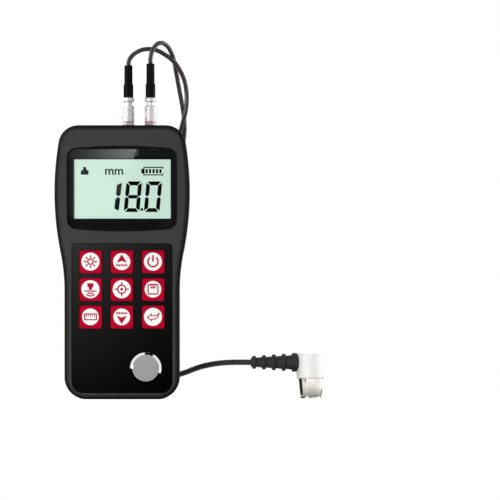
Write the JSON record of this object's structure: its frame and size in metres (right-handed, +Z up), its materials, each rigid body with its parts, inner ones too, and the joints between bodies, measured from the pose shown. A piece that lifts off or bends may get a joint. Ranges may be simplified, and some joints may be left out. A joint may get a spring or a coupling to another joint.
{
  "type": "ultrasonic thickness gauge",
  "caption": "Handheld ultrasonic thickness gauge: waisted housing with a display, square keys and a round test disc, and a contact probe on a cable plugged into its top.",
  "frame": {"origin": "middle of the housing's lower end, on the floor", "axes": "+Z up along the housing, the keypad and display face -Y, the probe stands towards +X"},
  "size_m": [0.1484, 0.0863, 0.1966],
  "materials": {
    "housing_grey": "fine satin",
    "housing_black": "fine matt",
    "window": "clear",
    "crystal": "smooth",
    "white_plastic": "matt",
    "panel_black": "gloss",
    "key_red": "satin",
    "board": "lacquer",
    "steel": "plain",
    "disc_steel": "ground",
    "nickel": "bright",
    "probe_plate": "bright satin",
    "tip_steel": "turned",
    "boot_rubber": "matt",
    "lead_jacket": "satin",
    "cable_jacket": "satin",
    "tie_fabric": "woven",
    "cell_wrap": "gloss",
    "delay_plastic": "polished",
    "element_brass": "plated",
    "barrier_cork": "cork"
  },
  "bodies": {
    "gauge": {"front_cover": "housing_grey", "rear_cover": "housing_black", "housing_screws": "steel", "display_window": "window", "crystal_panel": "crystal", "backlight": "white_plastic", "keypad_panel": "panel_black", "key_switches": "steel", "main_board": "board", "board_chips": "panel_black", "test_disc": "disc_steel", "left_socket": "nickel", "right_socket": "nickel", "socket_nuts": "nickel", "left_plug": "nickel", "right_plug": "nickel", "left_boot": "boot_rubber", "right_boot": "boot_rubber", "left_cell": "cell_wrap", "right_cell": "cell_wrap", "cell_springs": "nickel", "cell_contacts": "nickel", "left_lead": "lead_jacket", "right_lead": "lead_jacket", "split_sleeve": "boot_rubber", "cable_down": "cable_jacket", "cable_coil": "cable_jacket", "cable_out": "cable_jacket", "coil_tie": "tie_fabric", "strain_relief": "boot_rubber", "probe_head": "probe_plate", "probe_tip": "tip_steel", "delay_blocks": "delay_plastic", "probe_elements": "element_brass", "probe_barrier": "barrier_cork"},
    "battery_door": {"battery_door": "housing_black"},
    "left_sleeve": {"left_sleeve": "nickel"},
    "right_sleeve": {"right_sleeve": "nickel"},
    "key_backlight": {"key_backlight": "key_red"},
    "key_up": {"key_up": "key_red"},
    "key_power": {"key_power": "key_red"},
    "key_probe": {"key_probe": "key_red"},
    "key_calibrate": {"key_calibrate": "key_red"},
    "key_save": {"key_save": "key_red"},
    "key_units": {"key_units": "key_red"},
    "key_down": {"key_down": "key_red"},
    "key_enter": {"key_enter": "key_red"}
  },
  "joints": [
    {"name": "key_backlight_press", "type": "slide", "parent": "gauge", "child": "key_backlight", "axis": [0, 1, 0], "range_m": [0, 0.0005], "stiffness_N_per_m": 1000},
    {"name": "key_up_press", "type": "slide", "parent": "gauge", "child": "key_up", "axis": [0, 1, 0], "range_m": [0, 0.0005], "stiffness_N_per_m": 1000},
    {"name": "key_power_press", "type": "slide", "parent": "gauge", "child": "key_power", "axis": [0, 1, 0], "range_m": [0, 0.0005], "stiffness_N_per_m": 1000},
    {"name": "key_probe_press", "type": "slide", "parent": "gauge", "child": "key_probe", "axis": [0, 1, 0], "range_m": [0, 0.0005], "stiffness_N_per_m": 1000},
    {"name": "key_calibrate_press", "type": "slide", "parent": "gauge", "child": "key_calibrate", "axis": [0, 1, 0], "range_m": [0, 0.0005], "stiffness_N_per_m": 1000},
    {"name": "key_save_press", "type": "slide", "parent": "gauge", "child": "key_save", "axis": [0, 1, 0], "range_m": [0, 0.0005], "stiffness_N_per_m": 1000},
    {"name": "key_units_press", "type": "slide", "parent": "gauge", "child": "key_units", "axis": [0, 1, 0], "range_m": [0, 0.0005], "stiffness_N_per_m": 1000},
    {"name": "key_down_press", "type": "slide", "parent": "gauge", "child": "key_down", "axis": [0, 1, 0], "range_m": [0, 0.0005], "stiffness_N_per_m": 1000},
    {"name": "key_enter_press", "type": "slide", "parent": "gauge", "child": "key_enter", "axis": [0, 1, 0], "range_m": [0, 0.0005], "stiffness_N_per_m": 1000},
    {"name": "battery_door_hinge", "type": "hinge", "parent": "gauge", "child": "battery_door", "pos_m": [0, 0.015, 0.0285], "axis": [-1, 0, 0], "range_deg": [0, 75]},
    {"name": "left_sleeve_pull", "type": "slide", "parent": "gauge", "child": "left_sleeve", "axis": [0, 0, 1], "range_m": [0, 0.0012]},
    {"name": "right_sleeve_pull", "type": "slide", "parent": "gauge", "child": "right_sleeve", "axis": [0, 0, 1], "range_m": [0, 0.0012]}
  ]
}
